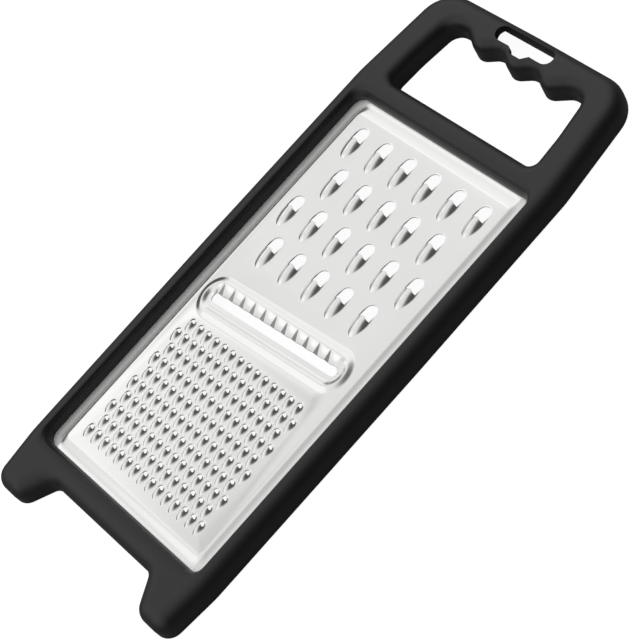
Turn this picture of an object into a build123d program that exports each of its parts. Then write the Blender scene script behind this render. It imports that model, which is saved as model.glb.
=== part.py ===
from build123d import *
import math
import os

# A flat hand grater: a stamped steel plate held in a black moulded frame with a handle.
# +Z is up out of the plate's working side and +Y runs towards the handle.
# The origin is at the middle of the footprint, on the flat underside.

# Overall frame.
length = 300.0
width = 128.2
thickness = 12.0
side_bow = 0.6
shoulder_drop = 56.0
shoulder_bow = 0.4
handle_corner_inset = 5.8
handle_corner_r = 17.0
handle_end_bow = 0.5
foot_corner_inset = 3.1
foot_corner_r = 7.5
heel_rise = 26.5
side_blend_r = 60.0
waist_r = 900.0
end_blend_r = 300.0

# Gap between the feet.
foot_width = 17.5
gap_depth = 15.8
gap_slant = 8.7
gap_top_r = 5.0
gap_foot_r = 7.5

# Rounding of the frame's edges.
crest_r = 7.2
under_r = 0.8
grip_edge_r = 5.0

# Window that shows the plate, set in from the frame's sides and ends.
side_bar = 9.7
foot_bar = 28.2
handle_reach = 64.9
window_corner_r = 5.5
window_side_flare = 2.5
window_end_flare = 5.2
window_flare_depth = 6.2
flare_steps = 5

# Handle opening with finger bumps on its far side.
cross_bar = 11.7
handle_bar = 14.25
grip_low_arm = 19.2
grip_middle_arm = 20.2
grip_middle_rise = 17.2
grip_top_arm = 23.1
grip_corner_r = 4.0
grip_side_r = 60.0
grip_top_corner_r = 7.0
finger_pitch = 21.0
finger_end_room = 8.5
bump_drop = 6.8
bump_r = 6.5

# Hanging slot in a thin web, with a flared pocket behind it.
slot_reach = 12.0
slot_height = 8.0
slot_length = 34.0
notch_half = 6.25
notch_tip_half = 3.0
notch_depth = 2.9
notch_tip_r = 1.5
web_thickness = 4.2
pocket_margin = 0.3
pocket_side_flare = 6.5
pocket_end_flare = 1.3
pocket_notch_flare = 4.0
pocket_notch_rise = 1.6

# Steel plate.
sheet = 0.5
plate_rim_z = 5.1
rim_grip = 3.0
panel_rise = 1.2
side_flange = 6.25
low_flange = 5.4
high_flange = 6.1
panel_slope = 1.0
panel_corner_r = 3.0

# Coarse hoods: a half-round punched hole with a raised scoop behind it.
coarse_pitch = 15.60
coarse_row_pitch = 20.81
coarse_rows = 4
coarse_top_margin = 13.1
coarse_left_margin = 10.2
coarse_right_margin = 3.8
coarse_drift = -0.675
coarse_hole_half = 3.2
coarse_hole_length = 7.4
coarse_hood_half = 3.8
coarse_hood_length = 9.8
coarse_hood_rise = 2.4
coarse_strip_below = 11.0

# Fine teeth: the same form, much smaller.
fine_pitch = 5.593
fine_row_pitch = 7.01
fine_gap = 18.2
fine_low_margin = 8.0
fine_left_margin = 10.8
fine_right_margin = 9.0
fine_hole_half = 1.65
fine_hole_length = 2.1
fine_hood_half = 2.2
fine_hood_length = 4.6
fine_hood_rise = 1.3
fine_strip_below = 4.75

# Waist of every hood: where along it lies, and how wide it is there.
belly_place_share = 0.5
belly_half_share = 0.87

# Slanted slicer: a raised oval with a slot and a rippled upper lip.
slicer_angle = 4.2
slicer_shift = 0.2
slicer_gap = 7.26
slicer_side_margin = 2.65
slicer_height = 22.5
slicer_rise = 1.6
slicer_slope = 3.0
slicer_slot_margin = 7.5
slicer_slot_height = 4.4
slicer_slot_y = -0.4
ripple_pitch = 6.7
ripple_depth = 1.4
ripple_length = 6.0
ripple_overlap = 0.5

# Rear clamp frame and its pegs.
skirt = 2.0
grip_skirt = 2.5
fit_gap = 0.15
rear_stop_half = 29.0
rear_stop_reach = 28.0
peg_r = 1.5
peg_height = 3.0
peg_inset = 4.4
side_peg_count = 5
end_peg_count = 4
arm_peg_rise = 13.2
arm_peg_inset = 8.0
peg_end_inset = 6.2
peg_lead = 0.4

# Cutters run past the faces that they cut by this much.
overrun = 5.0

half_length = length / 2
half_width = width / 2


def room_count(room, pitch):
    """How many things at a pitch start within a room."""
    return int(room / pitch) + 1


# Places worked out from the sizes above, first in the frame and then on the plate.
foot_corner_x = half_width - foot_corner_inset
gap_bottom_half = foot_corner_x - foot_width
window_half = half_width - side_bar
window_low_y = -half_length + foot_bar
window_high_y = half_length - handle_reach
grip_low_y = window_high_y + cross_bar
grip_top_y = half_length - handle_bar
grip_top_half = half_width - grip_top_arm
finger_count = int(2 * (grip_top_half - finger_end_room) / finger_pitch)
slot_low_y = half_length - slot_reach
panel_half = window_half - side_flange
panel_low_y = window_low_y + low_flange
panel_high_y = window_high_y - high_flange
coarse_first_y = panel_high_y - coarse_top_margin
slicer_y = coarse_first_y - coarse_rows * coarse_row_pitch - slicer_gap
slicer_length = 2 * (panel_half - slicer_side_margin)
slicer_slot_length = slicer_length - 2 * slicer_slot_margin
ripple_count = int(slicer_slot_length / ripple_pitch)
fine_first_y = slicer_y - fine_gap
fine_rows = room_count(fine_first_y - panel_low_y - fine_low_margin, fine_row_pitch)


def filleted_face(corners):
    """Face inside a closed outline, given as corner points and the radius at each."""
    points = [point for point, radius in corners]
    radii = [radius for point, radius in corners]
    return make_face(FilletPolyline(*points, radius=radii, close=True).edges())


def frame_outline():
    """Outer outline: bowed sides, rounded handle end and two feet with a gap between them."""
    right = [
        ((gap_bottom_half - gap_slant, -half_length + gap_depth), gap_top_r),
        ((gap_bottom_half, -half_length), gap_foot_r),
        ((foot_corner_x, -half_length), foot_corner_r),
        ((half_width - side_bow, -half_length + heel_rise), side_blend_r),
        ((half_width, 0), waist_r),
        ((half_width - shoulder_bow, half_length - shoulder_drop), side_blend_r),
        ((half_width - handle_corner_inset, half_length - handle_end_bow), handle_corner_r),
    ]
    left = [((-x, y), r) for (x, y), r in reversed(right)]
    return filleted_face(right + [((0, half_length), end_blend_r)] + left)


def grip_sides(grow):
    """Corners of the handle opening without its bumps, grown outwards all round."""
    return [
        ((half_width - grip_low_arm + grow, grip_low_y - grow), grip_corner_r),
        ((half_width - grip_middle_arm + grow, grip_low_y + grip_middle_rise), grip_side_r),
        ((grip_top_half + grow, grip_top_y + grow), grip_top_corner_r),
    ]


def grip_outline():
    """Handle opening: straight low edge, tapering sides and finger bumps on the far edge."""
    right = grip_sides(0)
    corners = list(right)
    turns = 2 * finger_count + 1
    first = (turns - 1) / 2 * finger_pitch / 2
    for index in range(turns):
        drop = bump_drop if index % 2 else 0
        corners.append(((first - index * finger_pitch / 2, grip_top_y - drop), bump_r))
    corners += [((-x, y), r) for (x, y), r in reversed(right)]
    return filleted_face(corners)


def grip_clearance(grow):
    """Plain outline round the handle opening and its skirt."""
    right = grip_sides(grow)
    return filleted_face(right + [((-x, y), r) for (x, y), r in reversed(right)])


def window_face(grow_x, grow_y):
    """The plate's window as a rounded rectangle, grown on its sides and on its ends."""
    middle = (window_low_y + window_high_y) / 2
    span = window_high_y - window_low_y
    shape = RectangleRounded(
        2 * (window_half + grow_x),
        span + 2 * grow_y,
        window_corner_r + min(grow_x, grow_y),
    )
    return Pos(0, middle) * shape


def window_cutter():
    """Straight window with a flared mouth: each level follows a quarter ellipse."""
    straight = extrude(window_face(0, 0), amount=thickness + overrun)
    levels = []
    for step in range(flare_steps + 1):
        turn = math.radians(90 * step / flare_steps)
        grow = 1 - math.cos(turn)
        level = thickness - window_flare_depth * (1 - math.sin(turn))
        face = window_face(window_side_flare * grow, window_end_flare * grow)
        levels.append(Pos(0, 0, level) * face)
    mouth = loft(levels, ruled=True)
    return straight + mouth


def slot_face():
    """Hanging slot: a long rounded slot with a small notch in its lower side."""
    middle = slot_low_y + slot_height / 2
    slot = Pos(0, middle) * SlotOverall(slot_length, slot_height)
    notch_points = [
        (-notch_half, middle),
        (-notch_half, slot_low_y),
        (-notch_tip_half, slot_low_y - notch_depth),
        (notch_tip_half, slot_low_y - notch_depth),
        (notch_half, slot_low_y),
        (notch_half, middle),
    ]
    notch = make_face(Polyline(*notch_points, close=True).edges())
    low = notch.vertices().sort_by(Axis.Y)[:2]
    return slot + fillet(low, notch_tip_r)


def pocket_outline(flare, rise):
    """Pocket behind the slot: its sides and far side flare, its near side stays put."""
    low = slot_low_y - pocket_margin
    tip = slot_low_y - notch_depth - pocket_margin
    side = slot_length / 2 + flare
    neck = notch_half + pocket_margin + rise * pocket_notch_flare
    high = slot_low_y + slot_height + pocket_margin
    points = [
        (-side, low),
        (-neck, low - rise * pocket_margin),
        (-notch_tip_half - rise * pocket_notch_rise, tip),
        (notch_tip_half + rise * pocket_notch_rise, tip),
        (neck, low - rise * pocket_margin),
        (side, low),
        (side, high + rise * pocket_end_flare),
        (-side, high + rise * pocket_end_flare),
    ]
    return make_face(Polyline(*points, close=True).edges())


def pocket_cutter():
    """Flared pocket from the underside up to the web."""
    upper = Pos(0, 0, thickness - web_thickness) * pocket_outline(pocket_margin, 0)
    lower = pocket_outline(pocket_side_flare, 1)
    return loft([lower, upper], ruled=True)


def rear_face(gap):
    """Footprint of the rear clamp frame, drawn back from the front frame's skirts by a gap."""
    outer = offset(frame_outline(), amount=-(skirt + gap))
    grip = grip_clearance(grip_skirt + gap)
    stop_height = rear_stop_reach + overrun
    stop_middle = half_length - rear_stop_reach + stop_height / 2
    stop = Pos(0, stop_middle) * Rectangle(2 * (rear_stop_half + gap), stop_height)
    return outer - window_face(0, 0) - grip - stop


def peg_places():
    """Pegs along both sides, across both end bars and one in each handle arm."""
    places = []
    side = half_width - peg_inset
    span = window_high_y - window_low_y
    for index in range(side_peg_count):
        y = window_low_y + span * (index + 0.5) / side_peg_count
        places += [(-side, y), (side, y)]
    for index in range(end_peg_count):
        x = window_half * (2 * (index + 0.5) / end_peg_count - 1)
        places += [(x, window_low_y - peg_end_inset), (x, window_high_y + peg_end_inset)]
    arm = half_width - arm_peg_inset
    y = grip_low_y + arm_peg_rise
    return places + [(-arm, y), (arm, y)]


def frame_blank():
    """Rounded moulding with no openings."""
    blank = extrude(frame_outline(), amount=thickness)
    top = blank.faces().sort_by(Axis.Z)[-1].edges()
    blank = fillet(top, crest_r)
    bottom = blank.faces().sort_by(Axis.Z)[0].edges()
    return fillet(bottom, under_r)


def make_front_frame():
    grip = extrude(grip_outline(), amount=thickness + overrun)
    body = frame_blank() - Pos(0, 0, -overrun / 2) * grip
    crest = body.faces().filter_by(Plane.XY).sort_by(Axis.Z)[-1]
    body = fillet(crest.inner_wires()[0].edges(), grip_edge_r)
    body -= window_cutter()
    body -= Pos(0, 0, -overrun / 2) * extrude(slot_face(), amount=thickness + overrun)
    body -= pocket_cutter()
    recess = extrude(rear_face(-fit_gap), amount=plate_rim_z + overrun)
    body -= Pos(0, 0, -overrun) * recess
    groove = extrude(window_face(rim_grip, rim_grip), amount=sheet)
    body -= Pos(0, 0, plate_rim_z) * groove
    socket = Cylinder(peg_r, peg_height, align=(Align.CENTER, Align.CENTER, Align.MIN))
    body -= [Pos(x, y, plate_rim_z) * socket for x, y in peg_places()]
    return body


def make_rear_frame():
    body = extrude(rear_face(0), amount=plate_rim_z)
    height = peg_height - peg_lead + overrun / 10
    peg = Cylinder(peg_r, height, align=(Align.CENTER, Align.CENTER, Align.MIN))
    pegs = [Pos(x, y, plate_rim_z - overrun / 10) * peg for x, y in peg_places()]
    return body + pegs


def spindle(radius, reach):
    """Pointed half spindle about the Y axis with a waist part of the way along."""
    points = [
        (0, 0),
        (radius, 0),
        (radius * belly_half_share, -reach * belly_place_share),
        (0, -reach),
    ]
    return revolve(make_face(Polyline(*points, close=True).edges()), Axis.Y)


def above(shape, reach, floor):
    """Part of a shape that lies above a level and below a generous ceiling."""
    size = 4 * reach
    return shape & (Pos(0, 0, size / 2 - floor) * Box(size, size, size))


def hood(half, length, rise, hole_half, hole_length):
    """Raised scoop and the cutter that opens it, with the mouth at Y = 0 facing +Y."""
    outer_r = (half * half + rise * rise) / (2 * rise)
    sink = outer_r - rise
    belly_r = outer_r * belly_half_share
    tail_share = belly_place_share + (1 - belly_place_share) * (1 - sink / belly_r)
    reach = length / tail_share
    outer = Pos(0, 0, -sink) * spindle(outer_r, reach)
    inner = Pos(0, 0, -sink) * spindle(outer_r - sheet, reach - 2 * sheet)
    nose = hole_length - hole_half
    plan = Pos(0, nose / 2) * Rectangle(2 * hole_half, nose) + Pos(0, nose) * Circle(hole_half)
    punch = Pos(0, 0, -2 * sheet) * extrude(plan, amount=2 * sheet + rise)
    return above(outer, reach, sheet / 2), above(inner, reach, 2 * sheet) + punch


def toothed_strip(first, count, pitch, y, below, height, top_z, tool):
    """Full-width strip of the panel with one row of hoods."""
    scoop, cutter = tool
    width_here = 2 * (panel_half - 2 * sheet)
    strip = Pos(0, height / 2 - below, -sheet / 2) * Box(width_here, height, sheet)
    places = [Pos(first + index * pitch, 0) for index in range(count)]
    strip += [place * scoop for place in places]
    strip -= [place * cutter for place in places]
    return Pos(0, y, top_z) * strip


def coarse_strips(top_z):
    tool = hood(
        coarse_hood_half, coarse_hood_length, coarse_hood_rise, coarse_hole_half, coarse_hole_length
    )
    strips = []
    for row in range(coarse_rows):
        margin = coarse_left_margin + (row % 2) * coarse_pitch / 2
        count = room_count(2 * panel_half - margin - coarse_right_margin, coarse_pitch)
        first = margin - panel_half + row * coarse_drift
        y = coarse_first_y - row * coarse_row_pitch
        strip = toothed_strip(
            first, count, coarse_pitch, y, coarse_strip_below, coarse_row_pitch, top_z, tool
        )
        strips.append(strip)
    return strips


def fine_strips(top_z):
    tool = hood(fine_hood_half, fine_hood_length, fine_hood_rise, fine_hole_half, fine_hole_length)
    kinds = []
    for margin in (fine_left_margin, fine_left_margin - fine_pitch / 2):
        count = room_count(2 * panel_half - margin - fine_right_margin, fine_pitch)
        first = margin - panel_half
        y = fine_first_y
        strip = toothed_strip(
            first, count, fine_pitch, y, fine_strip_below, fine_row_pitch, top_z, tool
        )
        kinds.append(strip)
    return [Pos(0, -row * fine_row_pitch) * kinds[row % 2] for row in range(fine_rows)]


def panel_face(shrink):
    middle = (panel_low_y + panel_high_y) / 2
    span = panel_high_y - panel_low_y
    shape = RectangleRounded(
        2 * (panel_half - shrink), span - 2 * shrink, panel_corner_r - shrink
    )
    return Pos(0, middle) * shape


def slicer_face(shrink):
    return SlotOverall(slicer_length - 2 * shrink, slicer_height - 2 * shrink)


def slicer_place():
    return Pos(slicer_shift, slicer_y) * Rot(0, 0, slicer_angle)


def stepped(low, high, low_z, high_z):
    """Solid with sloping sides between a low outline and a high one."""
    return loft([Pos(0, 0, low_z) * low, Pos(0, 0, high_z) * high], ruled=True)


def slicer_crown(top_z):
    """Raised oval of the slicer, with its hollow."""
    crown_z = top_z + slicer_rise
    outer = stepped(slicer_face(0), slicer_face(slicer_slope), top_z - sheet, crown_z)
    low = slicer_face(sheet)
    high = slicer_face(slicer_slope + sheet)
    return outer, stepped(low, high, top_z - sheet, crown_z - sheet)


def slicer_openings(top_z):
    """Slot, and the cut that the rippled lip fills."""
    crown_z = top_z + slicer_rise
    low = slicer_slot_y - slicer_slot_height / 2
    high = slicer_slot_y + slicer_slot_height / 2 + ripple_length
    cut = Box(ripple_count * ripple_pitch, high - low, 2 * slicer_rise + overrun)
    slot = extrude(SlotOverall(slicer_slot_length, slicer_slot_height), amount=2 * overrun)
    return [Pos(0, (low + high) / 2, crown_z) * cut, Pos(0, slicer_slot_y, top_z - overrun) * slot]


def ripple_strip(top_z):
    """Rippled cutting lip: a zigzag sheet that ends at the slot."""
    start = -ripple_count * ripple_pitch / 2
    upper = [(start - ripple_overlap, 0)]
    for index in range(ripple_count):
        x = start + index * ripple_pitch
        upper.append((x, 0))
        upper.append((x + ripple_pitch / 2, ripple_depth))
    upper.append((-start, 0))
    upper.append((-start + ripple_overlap, 0))
    lower = [(x, z - sheet) for x, z in reversed(upper)]
    profile = make_face(Polyline(*upper, *lower, close=True).edges())
    strip = extrude(Plane.XZ * profile, amount=ripple_length + ripple_overlap)
    far = slicer_slot_y + slicer_slot_height / 2 + ripple_length + ripple_overlap
    return Pos(0, far, top_z + slicer_rise) * strip


def plain_strips(top_z):
    """Flat parts of the panel above, between and below the two toothed zones."""
    half = panel_half - 2 * sheet
    coarse_high = coarse_first_y - coarse_strip_below + coarse_row_pitch
    coarse_low = coarse_high - coarse_rows * coarse_row_pitch
    fine_high = fine_first_y - fine_strip_below + fine_row_pitch
    fine_low = fine_high - fine_rows * fine_row_pitch
    spans = [
        (coarse_high, panel_high_y - 2 * sheet),
        (fine_high, coarse_low),
        (panel_low_y + 2 * sheet, fine_low),
    ]
    return [
        Pos(0, (low + high) / 2, top_z - sheet / 2) * Box(2 * half, high - low, sheet)
        for low, high in spans
    ]


def add_slicer(body, top_z):
    """Raised oval, its slot and its rippled lip."""
    crown, under = slicer_crown(top_z)
    place = slicer_place()
    body = body + place * crown - place * under
    body -= [place * cutter for cutter in slicer_openings(top_z)]
    return body + place * ripple_strip(top_z)


def make_grater_plate():
    rim_z = plate_rim_z + sheet
    panel_z = rim_z + panel_rise
    rim = Pos(0, 0, plate_rim_z) * extrude(window_face(rim_grip, rim_grip), amount=sheet)
    raised = stepped(panel_face(-panel_slope), panel_face(0), plate_rim_z, panel_z)
    low = panel_face(sheet - panel_slope)
    hollow = stepped(low, panel_face(sheet), plate_rim_z, panel_z - sheet)
    middle = (panel_low_y + panel_high_y) / 2
    height = panel_high_y - panel_low_y - 4 * sheet
    well = Pos(0, middle, panel_z) * Box(2 * (panel_half - 2 * sheet), height, 2 * overrun)
    body = rim + raised - hollow - well
    plain = plain_strips(panel_z)
    body = add_slicer(body + plain, panel_z)
    return body + coarse_strips(panel_z) + fine_strips(panel_z)


def save(node, shape):
    export_step(shape, os.path.join("parts", node + ".step"))


os.makedirs("parts", exist_ok=True)
save("front_frame", make_front_frame())
save("rear_frame", make_rear_frame())
save("grater_plate", make_grater_plate())
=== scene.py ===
# %% [markdown]
# # A flat hand grater in its moulded frame
# The real object is one sheet of stamped stainless steel held in a black moulded frame.
# The frame and its clamp come from the construction model. The steel sheet is made again here,
# because its look is all in small pressed shapes: hoods, teeth and a rippled slicer.

# %% Load the frame
import math

import bmesh
import bpy
from mathutils import Matrix, Vector
from mathutils.geometry import delaunay_2d_cdt


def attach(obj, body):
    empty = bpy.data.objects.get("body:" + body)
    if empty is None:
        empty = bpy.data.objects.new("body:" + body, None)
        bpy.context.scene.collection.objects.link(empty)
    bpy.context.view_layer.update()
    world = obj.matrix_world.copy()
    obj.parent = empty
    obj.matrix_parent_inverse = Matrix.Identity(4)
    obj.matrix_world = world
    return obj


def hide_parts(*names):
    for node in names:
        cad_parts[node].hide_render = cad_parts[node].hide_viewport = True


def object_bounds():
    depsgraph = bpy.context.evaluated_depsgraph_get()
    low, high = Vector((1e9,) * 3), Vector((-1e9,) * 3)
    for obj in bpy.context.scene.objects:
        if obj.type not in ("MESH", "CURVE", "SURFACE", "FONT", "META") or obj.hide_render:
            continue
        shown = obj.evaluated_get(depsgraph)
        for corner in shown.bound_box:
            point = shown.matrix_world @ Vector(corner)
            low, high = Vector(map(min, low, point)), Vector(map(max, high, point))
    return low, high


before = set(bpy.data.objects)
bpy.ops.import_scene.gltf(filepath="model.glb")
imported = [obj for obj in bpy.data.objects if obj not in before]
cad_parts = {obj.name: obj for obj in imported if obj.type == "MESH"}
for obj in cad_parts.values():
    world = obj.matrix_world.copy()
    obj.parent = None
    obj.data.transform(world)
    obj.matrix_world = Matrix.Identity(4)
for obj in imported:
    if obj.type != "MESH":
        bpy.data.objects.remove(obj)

MM = 0.001
CAD_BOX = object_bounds()
print("construction box", [tuple(round(v, 4) for v in corner) for corner in CAD_BOX])

# %% [markdown]
# ## Camera
# A photograph of a flat thing fixes the camera well: the straight edges of the plate vanish
# towards two points. The camera stands to the right of the grater, above it, and is rolled, so
# that the handle points to the top right corner of the picture.

# %% Camera
CAMERA_PLACE = Vector((507.8, -109.1, 664.8)) * MM
CAMERA_TARGET = Vector((12.0, -8.8, 6.8)) * MM
CAMERA_ROLL = math.radians(-39.04)
CAMERA_LENS = 110.2


def add_camera():
    data = bpy.data.cameras.new("camera")
    data.lens = CAMERA_LENS
    camera = bpy.data.objects.new("camera", data)
    bpy.context.scene.collection.objects.link(camera)
    look = (CAMERA_TARGET - CAMERA_PLACE).to_track_quat("-Z", "Y").to_matrix()
    turn = look @ Matrix.Rotation(CAMERA_ROLL, 3, "Z")
    camera.matrix_world = Matrix.Translation(CAMERA_PLACE) @ turn.to_4x4()
    bpy.context.scene.camera = camera
    print("camera", round((CAMERA_TARGET - CAMERA_PLACE).length, 3), "m from the plate")


add_camera()

# %% [markdown]
# ## Colours and nodes
# Colours are written as sRGB hex, as a painter reads them, and turned to the linear values that
# the renderer works in. One small function adds a node and fills its inputs: a number or a
# colour is set, and the output of another node is linked.

# %% Colour and node helpers
def linear(code):
    """Linear red, green, blue and alpha from an sRGB hex colour."""
    parts = [int(code[i:i + 2], 16) / 255 for i in (1, 3, 5)]
    return [c / 12.92 if c <= 0.04045 else ((c + 0.055) / 1.055) ** 2.4 for c in parts] + [1.0]


def fill(tree, node, inputs):
    """Links each input that comes from a node's output, and sets the others."""
    for name, source in inputs.items():
        if isinstance(source, bpy.types.NodeSocket):
            tree.links.new(source, node.inputs[name])
        else:
            node.inputs[name].default_value = source


def add_node(tree, kind, settings, inputs):
    """Adds a node with its settings and fills its inputs."""
    node = tree.nodes.new(kind)
    for name, value in settings.items():
        setattr(node, name, value)
    fill(tree, node, inputs)
    return node


print("white is", [round(part, 3) for part in linear("#FFFFFF")[:3]], "in linear values")

# %% [markdown]
# ## Light
# A steel plate shows the room it stands in. The room here is a plain white studio with one dark
# side, on the grater's right, and a dark skirting all round. The flat of the plate mirrors the
# white side. Every small face that looks right mirrors the dark one, and every crease passes
# through the skirting, which is what makes the stamped shapes stand out. Soft spots brighten or
# dim the few degrees of the room that a large flat of the plate mirrors as a whole.

# %% World and lamps
ROOM_DARK_SIDE = Vector((1.0, 0.5, 0.0)).normalized()
DARK_SIDE_FROM = 0.05
DARK_SIDE_TO = 0.6
ROOM_BRIGHT = 1.08
ROOM_DARK = 0.05
SKIRTING_LOW = 0.05
SKIRTING_HIGH = 0.45
SKIRTING_SHARE = 0.12
# Each spot: its direction, the angles where it starts to fade and ends, and what it adds.
ROOM_SPOTS = [((-0.70, -0.06, 0.71), 3.0, 13.0, 0.45), ((-0.54, -0.02, 0.84), 2.0, 6.5, -0.5),
              ((-0.55, 0.95, 0.75), 20.0, 30.0, -0.38)]
KEY_PLACE = (-0.55, 0.95, 0.75)
KEY_POWER = 2.0
FILL_PLACE = (-0.45, -1.05, 0.8)
FILL_POWER = 1.0
LAMP_SIZE = 1.3


def make_room():
    world = bpy.data.worlds.new("white studio")
    world.use_nodes = True
    tree = world.node_tree
    tree.nodes.clear()
    place = add_node(tree, "ShaderNodeTexCoord", {}, {}).outputs["Generated"]
    side = add_node(tree, "ShaderNodeVectorMath", {"operation": "DOT_PRODUCT"},
                    {0: place, 1: ROOM_DARK_SIDE})
    height = add_node(tree, "ShaderNodeVectorMath", {"operation": "DOT_PRODUCT"},
                      {0: place, 1: (0.0, 0.0, 1.0)})
    across = add_node(tree, "ShaderNodeMapRange", {"interpolation_type": "SMOOTHSTEP"},
                      {"Value": side.outputs["Value"], "From Min": DARK_SIDE_FROM,
                       "From Max": DARK_SIDE_TO, "To Min": 1.0, "To Max": 0.0})
    up = add_node(tree, "ShaderNodeMapRange", {"interpolation_type": "SMOOTHSTEP"},
                  {"Value": height.outputs["Value"], "From Min": SKIRTING_LOW,
                   "From Max": SKIRTING_HIGH, "To Min": SKIRTING_SHARE, "To Max": 1.0})
    both = add_node(tree, "ShaderNodeMath", {"operation": "MULTIPLY"},
                    {0: across.outputs["Result"], 1: up.outputs["Result"]})
    room = add_node(tree, "ShaderNodeMapRange", {},
                    {"Value": both.outputs[0], "To Min": ROOM_DARK, "To Max": ROOM_BRIGHT})
    for toward, near, far, amount in ROOM_SPOTS:
        facing = add_node(tree, "ShaderNodeVectorMath", {"operation": "DOT_PRODUCT"},
                          {0: place, 1: Vector(toward).normalized()})
        spot = add_node(tree, "ShaderNodeMapRange", {"interpolation_type": "SMOOTHSTEP"},
                        {"Value": facing.outputs["Value"],
                         "From Min": math.cos(math.radians(far)),
                         "From Max": math.cos(math.radians(near)),
                         "To Min": 0.0, "To Max": amount})
        room = add_node(tree, "ShaderNodeMath", {"operation": "ADD"},
                        {0: room.outputs[0], 1: spot.outputs["Result"]})
    path = add_node(tree, "ShaderNodeLightPath", {}, {}).outputs
    shown = add_node(tree, "ShaderNodeMath", {"operation": "MAXIMUM"},
                     {0: path["Is Camera Ray"], 1: path["Is Transmission Ray"]})
    seen = add_node(tree, "ShaderNodeMix", {"data_type": "FLOAT"},
                    {"Factor": shown.outputs[0], "A": room.outputs[0], "B": 1.0})
    light = add_node(tree, "ShaderNodeBackground", {}, {"Strength": seen.outputs["Result"]})
    add_node(tree, "ShaderNodeOutputWorld", {}, {"Surface": light.outputs["Background"]})
    bpy.context.scene.world = world


def add_lamp(name, place, power):
    data = bpy.data.lights.new(name, "AREA")
    data.shape = "DISK"
    data.size = LAMP_SIZE
    data.energy = power
    lamp = bpy.data.objects.new(name, data)
    lamp.location = place
    lamp.rotation_euler = (-Vector(place)).to_track_quat("-Z", "Y").to_euler()
    bpy.context.scene.collection.objects.link(lamp)


make_room()
add_lamp("key light", KEY_PLACE, KEY_POWER)
add_lamp("fill light", FILL_PLACE, FILL_POWER)
bpy.context.scene.view_settings.view_transform = "Standard"
print("room with", len(ROOM_SPOTS), "spots, and", len(bpy.data.lights), "lamps")

# %% [markdown]
# ## Floor
# The floor is white to the camera, so the picture has a clean ground, but it is a plain grey
# surface to the lamps, so the grater still rests in its own soft shadow.

# %% Floor
FLOOR_HALF = 3.0
FLOOR_GAP = 0.2 * MM
FLOOR_COLOUR = "#848484"
FLOOR_ROUGHNESS = 0.9
FLOOR_GLOW = 0.94
FLOOR_MIRROR_GLOW = 0.05


def add_floor():
    mesh = bpy.data.meshes.new("floor")
    corners = [(-1, -1), (1, -1), (1, 1), (-1, 1)]
    points = [(x * FLOOR_HALF, y * FLOOR_HALF, CAD_BOX[0].z - FLOOR_GAP) for x, y in corners]
    mesh.from_pydata(points, [], [(0, 1, 2, 3)])
    floor = bpy.data.objects.new("floor", mesh)
    bpy.context.scene.collection.objects.link(floor)
    material = bpy.data.materials.new("pale table")
    material.use_nodes = True
    tree = material.node_tree
    path = add_node(tree, "ShaderNodeLightPath", {}, {}).outputs
    seen = add_node(tree, "ShaderNodeMath", {"operation": "MULTIPLY"},
                    {0: path["Is Camera Ray"], 1: FLOOR_GLOW})
    mirrored = add_node(tree, "ShaderNodeMath", {"operation": "MULTIPLY"},
                        {0: path["Is Glossy Ray"], 1: FLOOR_MIRROR_GLOW})
    glow = add_node(tree, "ShaderNodeMath", {"operation": "ADD"},
                    {0: seen.outputs[0], 1: mirrored.outputs[0]})
    fill(tree, tree.nodes["Principled BSDF"],
         {"Base Color": linear(FLOOR_COLOUR), "Roughness": FLOOR_ROUGHNESS,
          "Specular IOR Level": 0.0, "Emission Color": linear("#FFFFFF"),
          "Emission Strength": glow.outputs[0]})
    mesh.materials.append(material)


add_floor()
print("floor at", round(CAD_BOX[0].z * 1000, 2), "mm")

# %% [markdown]
# ## The steel sheet: sizes
# All the places on the sheet are measured from the middle of the grater, as in the construction
# model. The panel is the raised flat of the sheet, and the rim round it lies 1.2 mm lower and
# runs on into the frame's groove.

# %% Sheet sizes
SHEET = 0.5
PANEL_Z = 6.8
RIM_DROP = 1.2
PANEL_HALF = 48.15
PANEL_LOW = -116.4
PANEL_HIGH = 79.0
PANEL_CORNER = 3.0
RIM_HALF = 57.3
RIM_LOW = -124.7
RIM_HIGH = 88.0
RIM_CORNER = 8.0


def rounded_loop(half, low, high, radius, steps=6):
    """Points round a rectangle with rounded corners, from its right side anticlockwise."""
    centres = [(half - radius, high - radius, 0), (radius - half, high - radius, 90),
               (radius - half, low + radius, 180), (half - radius, low + radius, 270)]
    points = []
    for x, y, start in centres:
        for step in range(steps + 1):
            turn = math.radians(start + 90 * step / steps)
            points.append((x + radius * math.cos(turn), y + radius * math.sin(turn)))
    return points


print("panel", 2 * PANEL_HALF, "by", round(PANEL_HIGH - PANEL_LOW, 1), "mm")

# %% [markdown]
# ## A hood
# A hood is cut and pressed in one blow: the punch opens a hole with a round end, and pushes the
# sheet behind it up into a scoop with an arched cutting edge. Seen from above the scoop is half
# an ellipse. The mesh is a grid over that half ellipse, a strip round the hole and a narrow flat
# apron, which keeps the shading of the crease tight. Its outer loop fits a hole in the flat sheet.

# %% Hood patch
# A tail of fullness 2 is half an ellipse seen from above, and a higher value makes it blunter.
TAIL_FULLNESS = 2.4
# The cutting edge leans forward in its middle, over this share of its half width, and its ends
# stand back by this share of the lean. The lean fades out along the tail.
LEAN_WIDTH = 0.35
LEAN_BACK = 0.3
LEAN_FADE = 3


def add_apron(verts, faces, foot, width):
    """Adds a flat strip round the foot of a patch, and returns its outer loop."""
    loop = []
    for k, index in enumerate(foot):
        before = Vector(verts[foot[k - 1]])
        after = Vector(verts[foot[(k + 1) % len(foot)]])
        along = after - before
        away = Vector((along.y, -along.x, 0)).normalized() * width
        here = Vector(verts[index])
        verts.append((here.x + away.x, here.y + away.y, 0))
        loop.append(len(verts) - 1)
    for k in range(len(foot)):
        after = (k + 1) % len(foot)
        faces.append((foot[k], loop[k], loop[after], foot[after]))
    return loop


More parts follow.
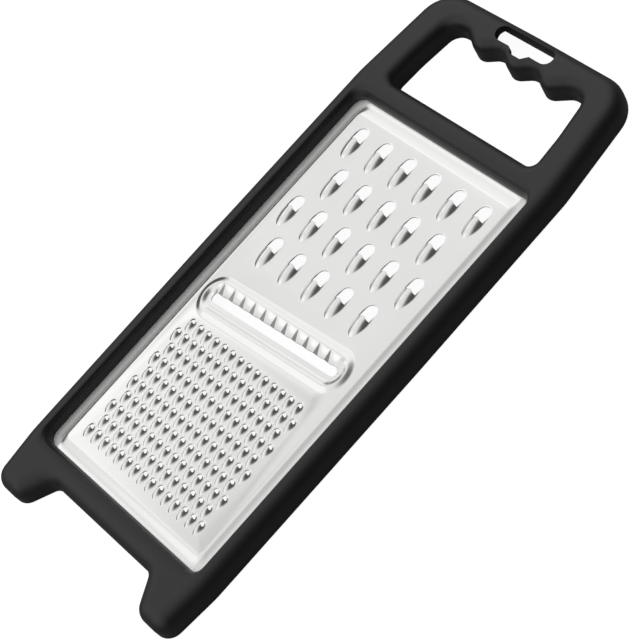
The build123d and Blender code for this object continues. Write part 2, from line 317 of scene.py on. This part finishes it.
def hood_patch(name, half, length, rise, hole_half, hole_length, rows, columns, nose_steps,
               apron, tail_power, tail_round, arch_power, lip, lean):
    """Mesh of one hood about its mouth, in millimetres, and its outer loop of points.

    The height falls along the tail by tail_power and tail_round, and across it by arch_power.
    Lip is the rise of the hole's rim, as a share of the height where the rim meets the scoop.
    """
    verts = []
    faces = []
    edge = hole_half / half

    def lip_reach(u):
        """How far the cutting edge leans over the hole: most in its middle."""
        middle = math.exp(-(u / LEAN_WIDTH) ** 2)
        return lean * ((1 + LEAN_BACK) * middle - LEAN_BACK)

    def put(x, y, z):
        verts.append((x, y, z))
        return len(verts) - 1

    us = [-1.0, -edge] + [edge * (2 * i / (columns - 2) - 1) for i in range(1, columns - 2)]
    us += [edge, 1.0]
    grid = []
    for j in range(rows):
        v = math.sin(math.pi / 2 * j / rows)
        wide = half * math.sqrt(1 - v ** TAIL_FULLNESS)
        high = rise * (1 - v ** tail_power) ** tail_round
        grid.append([put(u * wide, lip_reach(u) * (1 - v) ** LEAN_FADE - length * v,
                         high * (1 - abs(u) ** arch_power)) for u in us])
    tip = put(0, -length, 0)
    for j in range(rows - 1):
        for i in range(len(us) - 1):
            faces.append((grid[j][i], grid[j + 1][i], grid[j + 1][i + 1], grid[j][i + 1]))
    for i in range(len(us) - 1):
        faces.append((grid[-1][i], tip, grid[-1][i + 1]))
    nose = hole_length - hole_half
    inner = [grid[0][-2]]
    outer = [grid[0][-1]]
    rim = lip * (rise * (1 - edge ** arch_power))
    for k in range(nose_steps + 1):
        turn = math.pi * k / nose_steps
        inner.append(put(hole_half * math.cos(turn), nose + hole_half * math.sin(turn), rim))
        outer.append(put(half * math.cos(turn), nose + half * math.sin(turn), 0))
    inner.append(grid[0][1])
    outer.append(grid[0][0])
    for k in range(len(inner) - 1):
        faces.append((outer[k], outer[k + 1], inner[k + 1], inner[k]))
    foot = outer + [grid[j][0] for j in range(1, rows)] + [tip]
    foot += [grid[j][-1] for j in range(rows - 1, 0, -1)]
    loop = add_apron(verts, faces, foot, apron)
    mesh = bpy.data.meshes.new(name)
    mesh.from_pydata([Vector(v) * MM for v in verts], [], faces)
    print(name, "patch:", len(faces), "faces")
    return mesh, [verts[index][:2] for index in loop]


COARSE_MESH, COARSE_LOOP = hood_patch(
    "coarse hood", half=3.75, length=9.8, rise=2.4, hole_half=3.2, hole_length=7.4, rows=10,
    columns=14, nose_steps=12, apron=0.3, tail_power=2.1, tail_round=0.9, arch_power=1.9,
    lip=0.1, lean=0.7)
FINE_MESH, FINE_LOOP = hood_patch(
    "fine tooth", half=2.2, length=5.0, rise=2.2, hole_half=1.4, hole_length=1.8, rows=6,
    columns=8, nose_steps=6, apron=0.15, tail_power=2.0, tail_round=1.0, arch_power=1.4,
    lip=0.6, lean=0.3)

# %% [markdown]
# ## The stamped pattern
# The press punches row after row at a fixed pitch, every other row shifted. That is a rule, so a
# Geometry Nodes tree makes it: a grid of points, a shift for odd rows, a small drift per row, and
# one place dropped from the shorter rows. Each point then gets a copy of the hood patch. The
# sums stand in a table, because a tree of twenty Math nodes is easier to read as one.

# %% Stamping tree
STAMP_NUMBERS = ["First even X", "First odd X", "First Y", "Pitch", "Row pitch", "Row drift"]
STAMP_COUNTS = ["Rows", "Even count", "Odd count"]
# Each step: the name of its result, the sum that it does, and its two sources.
COUNT_STEPS = [
    ("columns", "MAXIMUM", "Even count", "Odd count"),
    ("total", "MULTIPLY", "columns", "Rows"),
]
PLACE_STEPS = [
    ("row share", "DIVIDE", "index", "columns"),
    ("row", "FLOOR", "row share", 0.0),
    ("before", "MULTIPLY", "row", "columns"),
    ("column", "SUBTRACT", "index", "before"),
    ("odd", "MODULO", "row", 2.0),
    ("even", "SUBTRACT", 1.0, "odd"),
    ("even start", "MULTIPLY", "even", "First even X"),
    ("odd start", "MULTIPLY", "odd", "First odd X"),
    ("start", "ADD", "even start", "odd start"),
    ("drift", "MULTIPLY", "row", "Row drift"),
    ("along row", "MULTIPLY", "column", "Pitch"),
    ("along", "ADD", "along row", "drift"),
    ("x", "ADD", "start", "along"),
    ("down", "MULTIPLY", "row", "Row pitch"),
    ("y", "SUBTRACT", "First Y", "down"),
    ("even room", "MULTIPLY", "even", "Even count"),
    ("odd room", "MULTIPLY", "odd", "Odd count"),
    ("room", "ADD", "even room", "odd room"),
    ("last", "SUBTRACT", "room", 0.5),
    ("spare", "GREATER_THAN", "column", "last"),
]


def add_steps(tree, steps, known):
    """Adds the steps of a table, and keeps each result under its name."""
    for name, operation, first, second in steps:
        sources = {0: known.get(first, first), 1: known.get(second, second)}
        node = add_node(tree, "ShaderNodeMath", {"operation": operation}, sources)
        known[name] = node.outputs[0]


def stamping_tree():
    tree = bpy.data.node_groups.new("stamped rows", "GeometryNodeTree")
    kinds = {name: "NodeSocketFloat" for name in STAMP_NUMBERS}
    kinds.update({name: "NodeSocketInt" for name in STAMP_COUNTS})
    kinds.update({"Patch": "NodeSocketObject", "Metal": "NodeSocketMaterial"})
    for name, kind in kinds.items():
        tree.interface.new_socket(name=name, in_out="INPUT", socket_type=kind)
    tree.interface.new_socket(name="Geometry", in_out="OUTPUT", socket_type="NodeSocketGeometry")
    get = add_node(tree, "NodeGroupInput", {}, {}).outputs
    known = {name: get[name] for name in STAMP_NUMBERS + STAMP_COUNTS}
    add_steps(tree, COUNT_STEPS, known)
    points = add_node(tree, "GeometryNodePoints", {}, {"Count": known["total"]})
    known["index"] = add_node(tree, "GeometryNodeInputIndex", {}, {}).outputs[0]
    add_steps(tree, PLACE_STEPS, known)
    place = add_node(tree, "ShaderNodeCombineXYZ", {},
                     {"X": known["x"], "Y": known["y"], "Z": PANEL_Z * MM})
    moved = add_node(tree, "GeometryNodeSetPosition", {},
                     {"Geometry": points.outputs[0], "Position": place.outputs[0]})
    kept = add_node(tree, "GeometryNodeDeleteGeometry", {"domain": "POINT"},
                    {"Geometry": moved.outputs[0], "Selection": known["spare"]})
    patch = add_node(tree, "GeometryNodeObjectInfo", {}, {"Object": get["Patch"]})
    copies = add_node(tree, "GeometryNodeInstanceOnPoints", {},
                      {"Points": kept.outputs[0], "Instance": patch.outputs["Geometry"]})
    real = add_node(tree, "GeometryNodeRealizeInstances", {},
                    {"Geometry": copies.outputs["Instances"]})
    metal = add_node(tree, "GeometryNodeSetMaterial", {},
                     {"Geometry": real.outputs[0], "Material": get["Metal"]})
    add_node(tree, "NodeGroupOutput", {}, {"Geometry": metal.outputs[0]})
    return tree


STAMP_TREE = stamping_tree()
print("stamping tree:", len(STAMP_TREE.nodes), "nodes")

# %% [markdown]
# ## Steel
# The plate is 18/10 stainless sheet, bright annealed and then stamped. The eye sees an even
# satin mirror with faint rolling lines and slightly cloudy reflections. The press grips the
# sheet along its two long sides, which leaves them duller than the panel.

# %% Steel material
GRIPPED_FROM = PANEL_HALF - 0.2
GRIPPED_TO = PANEL_HALF + 0.8
GRIPPED_ROUGHNESS = 0.55
STEEL_COLOURS = ("#F0F0EE", "#F5F5F4")
STEEL_ROUGHNESS = (0.15, 0.22)
# A trace of dust and grease on the sheet gives a faint haze, which a full mirror lacks.
STEEL_METALLIC = 0.88
# Rolling lines are about 0.05 mm apart. They are drawn 0.7 mm apart and 16 mm long, because
# they would be too fine to show. The cloudiness comes in patches of about 22 mm.
LINE_SPACING = 0.7
LINE_LENGTH = 16.0
STEEL_CLOUD = 22.0


def stainless_steel():
    material = bpy.data.materials.new("bright annealed stainless sheet")
    material.use_nodes = True
    tree = material.node_tree
    place = add_node(tree, "ShaderNodeTexCoord", {}, {}).outputs["Object"]
    fine, long = 1 / (LINE_SPACING * MM), 1 / (LINE_LENGTH * MM)
    lines = add_node(tree, "ShaderNodeMapping", {},
                     {"Vector": place, "Scale": (fine, long, fine)})
    grain = add_node(tree, "ShaderNodeTexNoise", {},
                     {"Vector": lines.outputs[0], "Scale": 1.0, "Detail": 3.0})
    cloud = add_node(tree, "ShaderNodeTexNoise", {},
                     {"Vector": place, "Scale": 1 / (STEEL_CLOUD * MM), "Detail": 2.0})
    tone = add_node(tree, "ShaderNodeMix", {"data_type": "RGBA"},
                    {"Factor": cloud.outputs["Fac"], "A": linear(STEEL_COLOURS[0]),
                     "B": linear(STEEL_COLOURS[1])})
    rough = add_node(tree, "ShaderNodeMapRange", {},
                     {"Value": grain.outputs["Fac"], "To Min": STEEL_ROUGHNESS[0],
                      "To Max": STEEL_ROUGHNESS[1]})
    parts = add_node(tree, "ShaderNodeSeparateXYZ", {}, {"Vector": place})
    away = add_node(tree, "ShaderNodeMath", {"operation": "ABSOLUTE"}, {0: parts.outputs["X"]})
    gripped = add_node(tree, "ShaderNodeMapRange", {"interpolation_type": "SMOOTHSTEP"},
                       {"Value": away.outputs[0], "From Min": GRIPPED_FROM * MM,
                        "From Max": GRIPPED_TO * MM})
    dull = add_node(tree, "ShaderNodeMix", {"data_type": "FLOAT"},
                    {"Factor": gripped.outputs["Result"], "A": rough.outputs["Result"],
                     "B": GRIPPED_ROUGHNESS})
    bump = add_node(tree, "ShaderNodeBump", {},
                    {"Height": grain.outputs["Fac"], "Strength": 0.06, "Distance": 0.02 * MM})
    fill(tree, tree.nodes["Principled BSDF"],
         {"Metallic": STEEL_METALLIC, "Base Color": tone.outputs["Result"],
          "Roughness": dull.outputs["Result"], "Normal": bump.outputs["Normal"]})
    return material


STEEL = stainless_steel()
print("steel:", STEEL.name)

# %% [markdown]
# ## Stamping the sheet
# The same rule is used twice, with its own numbers: 22 coarse hoods in four rows, and 145 fine
# teeth in ten rows. It is also worked out in plain numbers, because the flat sheet needs a hole
# at each place.

# %% Stamp the hoods and teeth
COARSE = {"First even X": -37.95, "First odd X": -30.15, "First Y": 65.9, "Pitch": 15.60,
          "Row pitch": 20.81, "Row drift": -0.675, "Rows": 4, "Even count": 6, "Odd count": 5}
FINE = {"First even X": -37.35, "First odd X": -40.15, "First Y": -42.8, "Pitch": 5.593,
        "Row pitch": 7.01, "Row drift": 0.0, "Rows": 10, "Even count": 14, "Odd count": 15}


def stamp_places(rule):
    """The same rule in plain numbers, for the holes in the flat sheet."""
    places = []
    for row in range(rule["Rows"]):
        kind = "odd" if row % 2 else "even"
        first = rule["First %s X" % kind] + row * rule["Row drift"]
        y = rule["First Y"] - row * rule["Row pitch"]
        count = rule["%s count" % kind.capitalize()]
        places += [(first + column * rule["Pitch"], y) for column in range(count)]
    return places


def stamp(name, rule, patch):
    """Runs the tree once and keeps its result as a plain mesh."""
    source = bpy.data.objects.new(name + " patch", patch)
    carrier = bpy.data.objects.new(name, bpy.data.meshes.new(name))
    for thing in (source, carrier):
        bpy.context.scene.collection.objects.link(thing)
    modifier = carrier.modifiers.new("stamped rows", "NODES")
    modifier.node_group = STAMP_TREE
    sockets = {item.name: item.identifier for item in STAMP_TREE.interface.items_tree}
    for key, value in rule.items():
        lengths = key in STAMP_NUMBERS
        modifier[sockets[key]] = float(value) * MM if lengths else value
    modifier[sockets["Patch"]] = source
    modifier[sockets["Metal"]] = STEEL
    graph = bpy.context.evaluated_depsgraph_get()
    made = bpy.data.meshes.new_from_object(carrier.evaluated_get(graph))
    for thing in (source, carrier):
        bpy.data.objects.remove(thing)
    print(name, "stamped:", len(made.polygons), "faces")
    return made


COARSE_HOODS = stamp("coarse hoods", COARSE, COARSE_MESH)
FINE_TEETH = stamp("fine teeth", FINE, FINE_MESH)

# %% [markdown]
# ## The slicer
# The slicer is a long oval ridge pressed up out of the panel and turned a little. Inside it the
# sheet slopes down to the slot, except on the handle side: there it stays up as the cutting lip,
# folded into ripples that deepen towards the slot. The mesh is a nest of ovals, from the slot
# outwards, with its columns set so that each ridge and valley of the lip falls on one.

# %% Slicer patch
# The place of the slicer on the panel, and of its slot across it.
SLICER_X = 0.2
SLICER_Y = -24.6
SLICER_TURN = math.radians(4.2)
SLOT_SHIFT = -0.4
# Radii of the slot's round ends and of the oval's foot.
SLOT_RX = 2.2
SLOT_RY = 2.2
OVAL_RX = 9.0
OVAL_RY = 11.4
# Shares of the way from the slot to the foot, and heights over the panel.
TROUGH_FLAT = 0.26
TROUGH_RISE = 0.1
RIDGE_PLACE = 0.6
RIDGE_RISE = 1.45
RAMP_EASE = 0.4
# Each ripple is a steep flank, a share of the pitch at the slot, and then a gentle ramp. Both
# run out at a share of the way to the foot. The lip itself fades out round the oval's ends.
RIPPLE_PITCH = 6.66
RIPPLE_COUNT = 11
RIPPLE_SHIFT = -0.8
RIPPLE_FLANK = 0.36
RIPPLE_TOP = 0.58
RIPPLE_DEPTH = 1.4
LIP_FADE = 2.2
STRAIGHT_HALF = RIPPLE_PITCH * RIPPLE_COUNT / 2
# Steps of the mesh: shares of a flank and of a ramp, the least width of a flank's columns as a
# share of its width at the slot, steps round each end, and rings.
FLANK_STEPS = [0.0, 0.12, 0.5, 0.88]
RAMP_STEPS = [0.0, 0.05, 0.35, 0.65, 0.95]
FLANK_LEAST = 0.12
CAP_STEPS = 16
SLICER_RINGS = 20
# A column on a ridge counts with the ripple that starts there.
RIDGE_SLACK = 1e-6


def smooth(t):
    t = min(max(t, 0.0), 1.0)
    return t * t * (3 - 2 * t)


def soft_ramp(t):
    """A straight slope with eased ends, which leaves a faint crease at both."""
    return (1 - RAMP_EASE) * min(max(t, 0.0), 1.0) + RAMP_EASE * smooth(t)


def ripple_columns(share):
    """Places along the lip, with a column on each ridge and on each valley of the ripples."""
    flank = RIPPLE_FLANK * max(1 - share / RIPPLE_TOP, FLANK_LEAST)
    phases = [flank * t for t in FLANK_STEPS]
    phases += [flank + (1 - flank) * t for t in RAMP_STEPS]
    places = [STRAIGHT_HALF]
    for index in reversed(range(RIPPLE_COUNT)):
        places += [(index + phase) * RIPPLE_PITCH - STRAIGHT_HALF for phase in reversed(phases)]
    return places


def oval_ring(share):
    """One oval of the nest, in the slicer's own frame: share 0 is the slot, 1 the foot."""
    rx = SLOT_RX + (OVAL_RX - SLOT_RX) * share
    ry = SLOT_RY + (OVAL_RY - SLOT_RY) * share
    middle = SLOT_SHIFT * (1 - share)
    top = ripple_columns(share)
    turns = [math.pi * k / CAP_STEPS for k in range(1, CAP_STEPS)]
    ring = [(a + RIPPLE_SHIFT, middle + ry, 1.0) for a in top]
    ring += [(RIPPLE_SHIFT - STRAIGHT_HALF - rx * math.sin(t), middle + ry * math.cos(t),
              smooth(1 - LIP_FADE * t / math.pi)) for t in turns]
    ring += [(RIPPLE_SHIFT - a, middle - ry, 0.0) for a in top]
    ring += [(RIPPLE_SHIFT + STRAIGHT_HALF + rx * math.sin(t), middle - ry * math.cos(t),
              smooth(1 - LIP_FADE * (1 - t / math.pi))) for t in turns]
    return ring


def slicer_height(share, a, lip):
    """Height over the panel: lip is 1 on the rippled side and 0 on the sloping side."""
    if share >= RIDGE_PLACE:
        return RIDGE_RISE * (1 - soft_ramp((share - RIDGE_PLACE) / (1 - RIDGE_PLACE)))
    climb = (share - TROUGH_FLAT) / (RIDGE_PLACE - TROUGH_FLAT)
    slope = TROUGH_RISE + (RIDGE_RISE - TROUGH_RISE) * soft_ramp(climb)
    high = slope + (RIDGE_RISE - slope) * lip
    if share < RIPPLE_TOP and lip == 1.0:
        phase = ((a - RIPPLE_SHIFT + STRAIGHT_HALF) / RIPPLE_PITCH + RIDGE_SLACK) % 1.0
        reach = 1 - share / RIPPLE_TOP
        ramp = reach * (1 - phase) / (1 - RIPPLE_FLANK * reach)
        high -= RIPPLE_DEPTH * min(phase / RIPPLE_FLANK, ramp)
    return high


def slicer_patch():
    verts = []
    rings = []
    for step in range(SLICER_RINGS + 1):
        share = step / SLICER_RINGS
        ring = []
        for a, b, lip in oval_ring(share):
            x = SLICER_X + a * math.cos(SLICER_TURN) - b * math.sin(SLICER_TURN)
            y = SLICER_Y + a * math.sin(SLICER_TURN) + b * math.cos(SLICER_TURN)
            verts.append((x, y, PANEL_Z + slicer_height(share, a, lip)))
            ring.append(len(verts) - 1)
        rings.append(ring)
    faces = []
    for inner, outer in zip(rings, rings[1:]):
        for k in range(len(inner)):
            after = (k + 1) % len(inner)
            faces.append((inner[k], outer[k], outer[after], inner[after]))
    mesh = bpy.data.meshes.new("slicer")
    mesh.from_pydata([Vector(v) * MM for v in verts], [], faces)
    print("slicer:", len(faces), "faces")
    return mesh, [verts[index][:2] for index in rings[-1]]


SLICER_MESH, SLICER_LOOP = slicer_patch()

# %% [markdown]
# ## The flat sheet
# What is left of the panel is flat, with a hole for every patch. A constrained Delaunay
# triangulation fills it: it takes the outer loop and all the hole loops and makes triangles that
# keep every loop point, so the patches join without a seam.

# %% Flat sheet
# The step: pairs of a distance outside the panel's edge and a drop. It is wider at both ends.
EDGE_PROFILE = [(-1.0, 0.0), (-0.5, 0.04), (0.0, 0.17), (0.6, 0.42), (1.2, 0.69),
                (1.8, 0.94), (2.3, 1.1), (2.8, 1.18), (3.3, 1.2)]
END_STRETCH = 1.7
# Points nearer than this, in millimetres, count as one in the triangulation.
SAME_POINT = 1e-5


def edge_loop(out):
    """Loop at a distance outside the panel's edge."""
    return rounded_loop(PANEL_HALF + out, PANEL_LOW - END_STRETCH * out,
                        PANEL_HIGH + END_STRETCH * out, PANEL_CORNER + out)


def flat_sheet():
    loops = [edge_loop(EDGE_PROFILE[0][0]), SLICER_LOOP]
    loops += [[(x + u, y + v) for u, v in COARSE_LOOP] for x, y in stamp_places(COARSE)]
    loops += [[(x + u, y + v) for u, v in FINE_LOOP] for x, y in stamp_places(FINE)]
    points = [Vector(p) for loop in loops for p in loop]
    edges = []
    start = 0
    for loop in loops:
        count = len(loop)
        edges += [(start + k, start + (k + 1) % count) for k in range(count)]
        start += count
    result = delaunay_2d_cdt(points, edges, [], 1, SAME_POINT)
    corners, triangles = result[0], result[2]
    kept = []
    for triangle in triangles:
        middle = sum((corners[i] for i in triangle), Vector((0, 0))) / 3
        if not any(inside_loop(middle, loop) for loop in loops[1:]):
            kept.append(triangle)
    mesh = bpy.data.meshes.new("flat sheet")
    mesh.from_pydata([Vector((p.x, p.y, PANEL_Z)) * MM for p in corners], [], kept)
    print("flat sheet:", len(kept), "triangles of", len(triangles))
    return mesh


def inside_loop(point, loop):
    """True if the point lies inside the loop, by counting crossings."""
    xs = [p[0] for p in loop]
    ys = [p[1] for p in loop]
    if not (min(xs) < point.x < max(xs) and min(ys) < point.y < max(ys)):
        return False
    crossings = False
    for (x0, y0), (x1, y1) in zip(loop, loop[1:] + loop[:1]):
        if (y0 > point.y) != (y1 > point.y):
            if point.x < x0 + (point.y - y0) * (x1 - x0) / (y1 - y0):
                crossings = not crossings
    return crossings


def edge_rings():
    """The step at the panel's edge and the rim, as a nest of rounded rectangles."""
    loops = []
    for out, drop in EDGE_PROFILE:
        loops.append([(x, y, PANEL_Z - drop) for x, y in edge_loop(out)])
    rim = rounded_loop(RIM_HALF, RIM_LOW, RIM_HIGH, RIM_CORNER)
    loops.append([(x, y, PANEL_Z - RIM_DROP) for x, y in rim])
    verts = [Vector(v) * MM for loop in loops for v in loop]
    count = len(loops[0])
    faces = []
    for row in range(len(loops) - 1):
        for k in range(count):
            after = (k + 1) % count
            near, far = row * count, (row + 1) * count
            faces.append((near + k, far + k, far + after, near + after))
    mesh = bpy.data.meshes.new("sheet edge")
    mesh.from_pydata(verts, [], faces)
    return mesh


FLAT = flat_sheet()
EDGE = edge_rings()

# %% [markdown]
# ## One plate
# The parts of the sheet are joined where their points meet, and the whole is then given its
# thickness: a copy half a millimetre lower closes the underside, and a wall closes every edge.
# Lowering the copy straight down is safe here, because no place on the sheet folds under itself.

# %% Join and thicken the plate
# Points nearer than this are joined, and edges sharper than this many degrees stay crisp.
WELD = 0.01 * MM
CREASE_ANGLE = 60


def join_and_thicken(name, meshes, thickness):
    made = bmesh.new()
    for mesh in meshes:
        made.from_mesh(mesh)
    bmesh.ops.remove_doubles(made, verts=made.verts, dist=WELD)
    for face in made.faces:
        if face.normal.z < 0:
            face.normal_flip()
    edges = [edge for edge in made.edges if len(edge.link_faces) == 1]
    top_faces = list(made.faces)
    copy = bmesh.ops.duplicate(made, geom=list(made.verts) + list(made.edges) + top_faces)
    twin = copy["vert_map"]
    lower = [item for item in copy["geom"] if isinstance(item, bmesh.types.BMVert)]
    for vert in lower:
        vert.co.z -= thickness
    for item in copy["geom"]:
        if isinstance(item, bmesh.types.BMFace):
            item.normal_flip()
    for edge in edges:
        first, second = edge.verts
        face = edge.link_faces[0]
        order = [loop.vert for loop in face.loops]
        at = order.index(first)
        if order[(at + 1) % len(order)] is not second:
            first, second = second, first
        made.faces.new((second, first, twin[first], twin[second]))
    made.normal_update()
    mesh = bpy.data.meshes.new(name)
    made.to_mesh(mesh)
    open_edges = sum(1 for edge in made.edges if len(edge.link_faces) != 2)
    made.free()
    print(name, len(mesh.polygons), "faces, open edges", open_edges)
    return mesh


def add_piece(name, mesh, material, node):
    mesh.materials.clear()
    mesh.materials.append(material)
    piece = bpy.data.objects.new(name, mesh)
    bpy.context.scene.collection.objects.link(piece)
    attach(piece, "root")
    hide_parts(node)
    print(name, "rides on the root and stands for", node)


def shade(mesh, angle):
    """Smooth shading, with edges sharper than the angle kept crisp."""
    mesh.shade_smooth()
    made = bmesh.new()
    made.from_mesh(mesh)
    for edge in made.edges:
        if len(edge.link_faces) == 2:
            edge.smooth = edge.calc_face_angle(0) < math.radians(angle)
    made.to_mesh(mesh)
    made.free()


PLATE_MESH = join_and_thicken(
    "grater_plate_stamped", [FLAT, EDGE, SLICER_MESH, COARSE_HOODS, FINE_TEETH], SHEET * MM)
shade(PLATE_MESH, CREASE_ANGLE)
add_piece("grater_plate_stamped", PLATE_MESH, STEEL, "grater_plate")

# %% [markdown]
# ## Black moulding
# The frame is moulded ABS with a fine spark-eroded texture: nearly black, with a soft satin
# sheen that brightens where the surface turns away from the eye.

# %% Frame material
ABS_IOR = 1.54
PLASTIC_ROUGHNESS = (0.42, 0.52)
# The pits of the texture are about 0.4 mm apart, and the colour drifts over about 33 mm.
PIT_SPACING = 0.4
PLASTIC_CLOUD = 33.0


def moulded_plastic(name, colours):
    material = bpy.data.materials.new(name)
    material.use_nodes = True
    tree = material.node_tree
    place = add_node(tree, "ShaderNodeTexCoord", {}, {}).outputs["Object"]
    pits = add_node(tree, "ShaderNodeTexNoise", {},
                    {"Vector": place, "Scale": 1 / (PIT_SPACING * MM), "Detail": 2.0})
    cloud = add_node(tree, "ShaderNodeTexNoise", {},
                     {"Vector": place, "Scale": 1 / (PLASTIC_CLOUD * MM), "Detail": 2.0})
    tone = add_node(tree, "ShaderNodeMix", {"data_type": "RGBA"},
                    {"Factor": cloud.outputs["Fac"], "A": linear(colours[0]),
                     "B": linear(colours[1])})
    rough = add_node(tree, "ShaderNodeMapRange", {},
                     {"Value": pits.outputs["Fac"], "To Min": PLASTIC_ROUGHNESS[0],
                      "To Max": PLASTIC_ROUGHNESS[1]})
    bump = add_node(tree, "ShaderNodeBump", {},
                    {"Height": pits.outputs["Fac"], "Strength": 0.15, "Distance": 0.02 * MM})
    fill(tree, tree.nodes["Principled BSDF"],
         {"IOR": ABS_IOR, "Base Color": tone.outputs["Result"],
          "Roughness": rough.outputs["Result"], "Normal": bump.outputs["Normal"]})
    return material


FRAME_PLASTIC = moulded_plastic("black moulded ABS", ("#131314", "#171718"))
# The clamp is the same ABS as the frame. Its slightly darker colours are painted shade for its
# faces, which lie inside the frame and underneath it.
SHADED_REAR_PLASTIC = moulded_plastic("black moulded ABS, darker for painted shade", ("#111112", "#151516"))


def dress_node(node, material):
    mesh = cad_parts[node].data
    if len(mesh.materials) == 0:
        mesh.materials.append(material)
    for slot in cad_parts[node].material_slots:
        slot.material = material
    print(node, "dressed,", len(mesh.polygons), "faces")


dress_node("front_frame", FRAME_PLASTIC)
dress_node("rear_frame", SHADED_REAR_PLASTIC)
